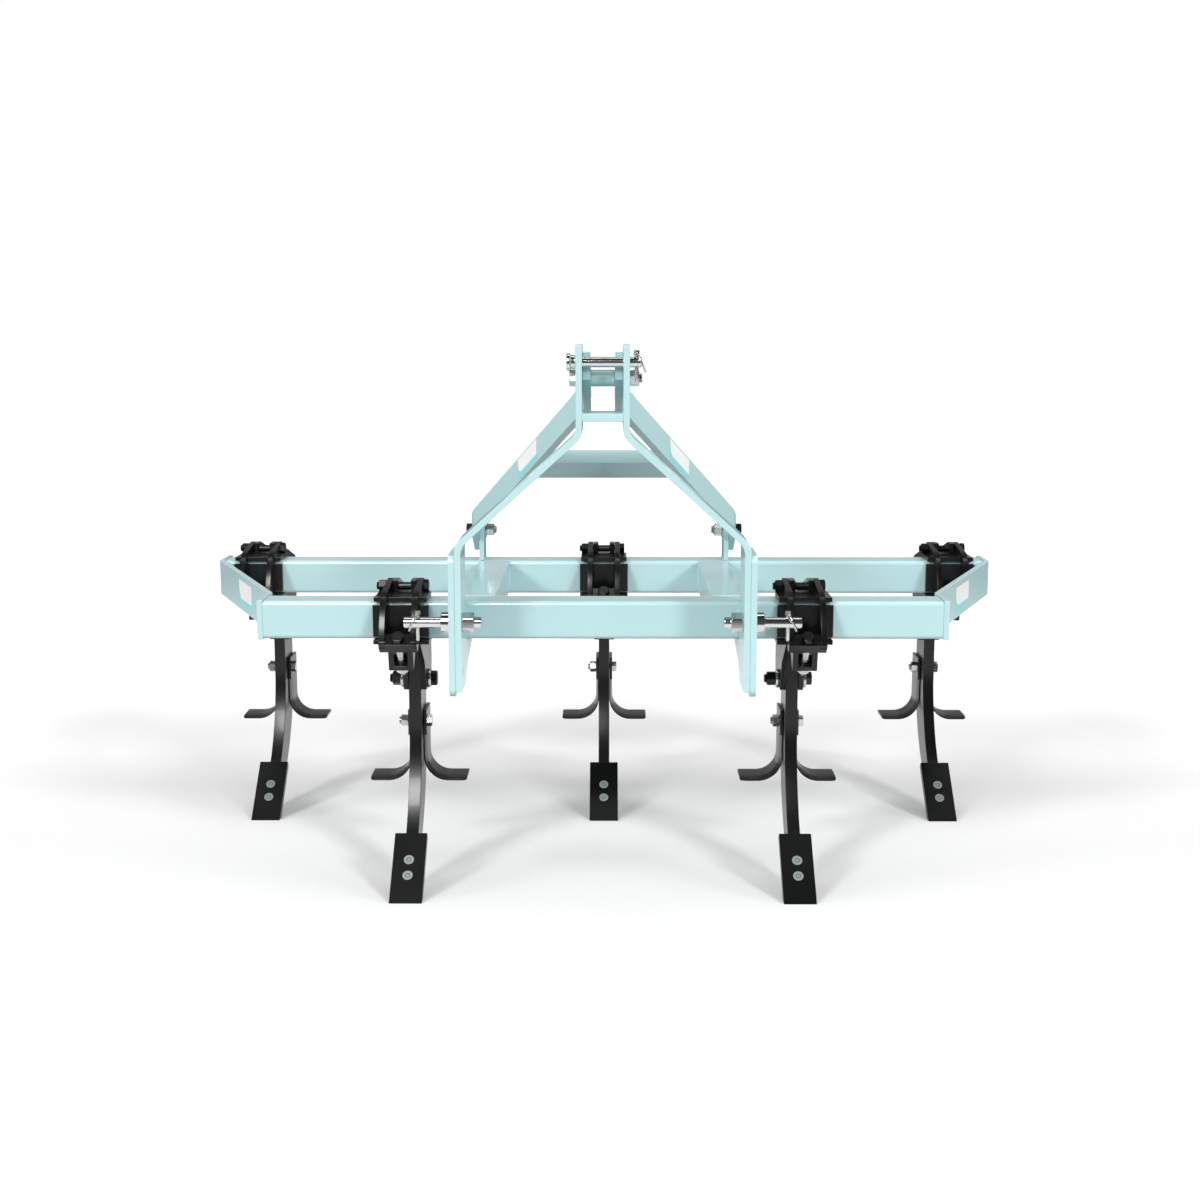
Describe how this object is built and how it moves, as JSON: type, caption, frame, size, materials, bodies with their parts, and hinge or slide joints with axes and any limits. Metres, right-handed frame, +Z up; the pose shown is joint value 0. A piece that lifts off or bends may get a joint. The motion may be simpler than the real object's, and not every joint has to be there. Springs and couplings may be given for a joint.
{
  "type": "carried winged subsoiler",
  "caption": "Carried subsoiler with a three-point hitch mast, a braced frame of square bars and winged bent shanks clamped to it in two rows.",
  "frame": {"origin": "centre of the footprint on the ground, under the middle of the bounding box", "axes": "+Z up, -Y towards the tractor, X across the working width"},
  "size_m": [2.374, 1.35, 1.47],
  "materials": {
    "frame_paint": "pale turquoise gloss enamel",
    "black_paint": "black gloss enamel",
    "zinc": "bright zinc plating"
  },
  "bodies": {
    "root": {"beam_left": "frame_paint", "beam_right": "frame_paint", "brace_bolt_left": "zinc", "brace_bolt_right": "zinc", "brace_bolt_top": "zinc", "brace_left": "frame_paint", "brace_lug_left": "frame_paint", "brace_lug_right": "frame_paint", "brace_right": "frame_paint", "brace_spacer": "frame_paint", "brace_tie": "frame_paint", "clamp_front_front_left": "black_paint", "clamp_front_front_right": "black_paint", "clamp_front_rear_left": "black_paint", "clamp_front_rear_middle": "black_paint", "clamp_front_rear_right": "black_paint", "clamp_rear_front_left": "black_paint", "clamp_rear_front_right": "black_paint", "clamp_rear_rear_left": "black_paint", "clamp_rear_rear_middle": "black_paint", "clamp_rear_rear_right": "black_paint", "front_bar": "frame_paint", "hitch_plate_left": "frame_paint", "hitch_plate_right": "frame_paint", "lower_pin_left": "zinc", "lower_pin_right": "zinc", "mast_bar_left": "frame_paint", "mast_bar_right": "frame_paint", "mast_tie": "frame_paint", "point_front_left": "black_paint", "point_front_right": "black_paint", "point_rear_left": "black_paint", "point_rear_middle": "black_paint", "point_rear_right": "black_paint", "rear_bar": "frame_paint", "shank_front_left": "black_paint", "shank_front_right": "black_paint", "shank_rear_left": "black_paint", "shank_rear_middle": "black_paint", "shank_rear_right": "black_paint", "side_plate_left": "frame_paint", "side_plate_right": "frame_paint", "tine_bolts_front_left": "zinc", "tine_bolts_front_right": "zinc", "tine_bolts_rear_left": "zinc", "tine_bolts_rear_middle": "zinc", "tine_bolts_rear_right": "zinc", "top_pin": "zinc", "wings_front_left": "black_paint", "wings_front_right": "black_paint", "wings_rear_left": "black_paint", "wings_rear_middle": "black_paint", "wings_rear_right": "black_paint"}
  },
  "joints": []
}
